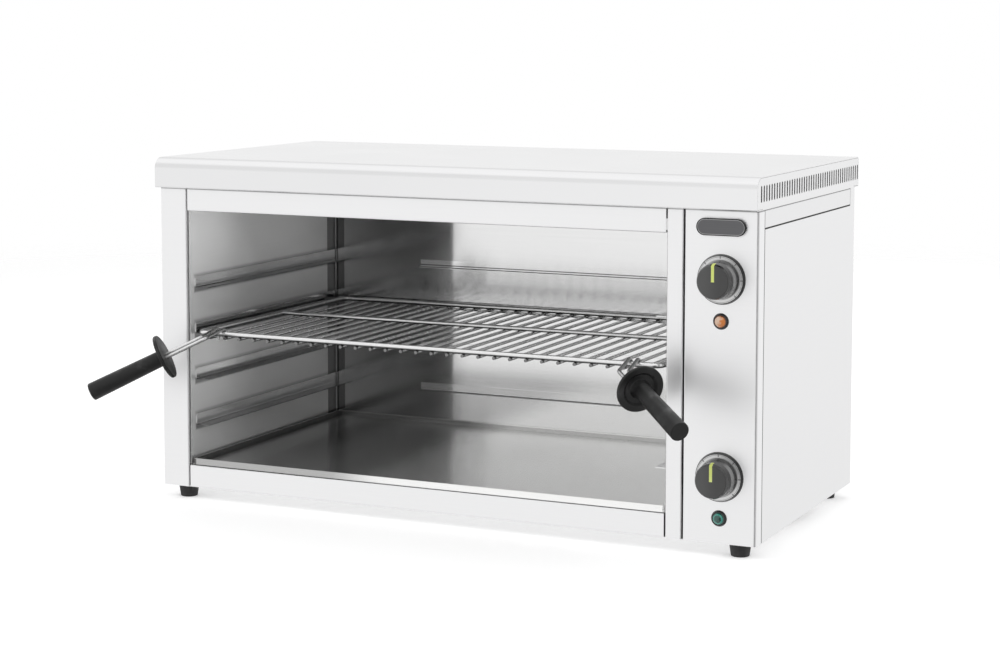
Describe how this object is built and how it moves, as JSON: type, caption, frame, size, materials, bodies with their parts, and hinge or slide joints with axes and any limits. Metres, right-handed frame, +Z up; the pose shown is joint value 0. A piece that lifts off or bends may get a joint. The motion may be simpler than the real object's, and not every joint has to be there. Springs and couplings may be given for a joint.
{
  "type": "salamander grill",
  "caption": "Open-fronted electric salamander grill with a lifting wire rack, crumb tray, control column and slotted top cover.",
  "frame": {"origin": "centre of the overall box, handles included, on the surface that the feet stand on", "axes": "+X to the right seen from the front, +Y to the back, +Z up"},
  "size_m": [0.8462, 0.5288, 0.4383],
  "materials": {
    "outer_steel": "fine brushed stainless sheet",
    "cavity_steel": "brushed stainless lining",
    "tray_steel": "brushed stainless tray",
    "rack_wire": "bright plated wire",
    "handle_plastic": "matt black thermoset moulding",
    "element_sheath": "dull heat-toned tube",
    "mineral_wool": "matt wool board",
    "electrical_plastic": "dull moulded plastic",
    "fixing_steel": "bright zinc-plated",
    "knob_plastic": "glossy black moulding",
    "pointer_paint": "yellow-green inlay",
    "dial_silver": "satin silver foil",
    "orange_lens": "clear orange lens",
    "green_lens": "clear green lens",
    "badge_metal": "dark plate with a bright edge",
    "foot_rubber": "matt black rubber"
  },
  "bodies": {
    "casing": {"base_plate": "outer_steel", "left_post": "outer_steel", "upper_front_rail": "outer_steel", "lower_front_rail": "outer_steel", "mullion": "outer_steel", "control_panel": "outer_steel", "right_side_panel": "outer_steel", "left_side_panel": "outer_steel", "right_side_strip": "outer_steel", "left_side_strip": "outer_steel", "back_panel": "outer_steel", "top_cover": "outer_steel", "left_cover_end": "outer_steel", "right_cover_end": "outer_steel", "left_cavity_wall": "cavity_steel", "right_cavity_wall": "cavity_steel", "cavity_floor": "cavity_steel", "reflector": "cavity_steel", "left_runners": "cavity_steel", "right_runners": "cavity_steel", "back_ledges": "cavity_steel", "heating_element_1": "element_sheath", "heating_element_2": "element_sheath", "heating_element_3": "element_sheath", "element_brackets": "cavity_steel", "top_insulation": "mineral_wool", "left_insulation": "mineral_wool", "right_insulation": "mineral_wool", "heat_shield": "cavity_steel", "thermostat_body": "electrical_plastic", "timer_body": "electrical_plastic", "thermostat_bulb": "fixing_steel", "upper_dial": "knob_plastic", "upper_dial_face": "dial_silver", "lower_dial": "knob_plastic", "lower_dial_face": "dial_silver", "orange_lamp_body": "knob_plastic", "orange_lamp_lens": "orange_lens", "green_lamp_body": "knob_plastic", "green_lamp_lens": "green_lens", "badge_plate": "badge_metal", "terminal_block": "electrical_plastic", "cable_gland": "electrical_plastic", "earth_stud": "fixing_steel", "feet": "foot_rubber", "foot_screws": "fixing_steel", "casing_screws": "fixing_steel"},
    "rack": {"rack_frame": "rack_wire", "rack_wires": "rack_wire"},
    "left_handle": {"left_handle_bail": "rack_wire", "left_handle_grip": "handle_plastic"},
    "right_handle": {"right_handle_bail": "rack_wire", "right_handle_grip": "handle_plastic"},
    "tray": {"crumb_tray": "tray_steel"},
    "upper_knob": {"upper_knob": "knob_plastic", "upper_knob_pointer": "pointer_paint", "thermostat_shaft": "fixing_steel"},
    "lower_knob": {"lower_knob": "knob_plastic", "lower_knob_pointer": "pointer_paint", "timer_shaft": "fixing_steel"}
  },
  "joints": [
    {"name": "rack_slide", "type": "slide", "parent": "casing", "child": "rack", "axis": [0, -1, 0], "range_m": [0, 0.25]},
    {"name": "left_handle_swing", "type": "hinge", "parent": "rack", "child": "left_handle", "pos_m": [-0.29018, -0.13256, 0.2168], "axis": [-1, 0, 0], "range_deg": [0, 60]},
    {"name": "right_handle_swing", "type": "hinge", "parent": "rack", "child": "right_handle", "pos_m": [0.27196, -0.13256, 0.2168], "axis": [-1, 0, 0], "range_deg": [0, 60]},
    {"name": "tray_slide", "type": "slide", "parent": "casing", "child": "tray", "axis": [0, -1, 0], "range_m": [0, 0.3]},
    {"name": "upper_knob_turn", "type": "hinge", "parent": "casing", "child": "upper_knob", "pos_m": [0.37784, -0.13256, 0.3208], "axis": [0, 1, 0], "range_deg": [0, 270]},
    {"name": "lower_knob_turn", "type": "hinge", "parent": "casing", "child": "lower_knob", "pos_m": [0.37784, -0.13256, 0.0936], "axis": [0, 1, 0], "range_deg": [0, 300]}
  ]
}
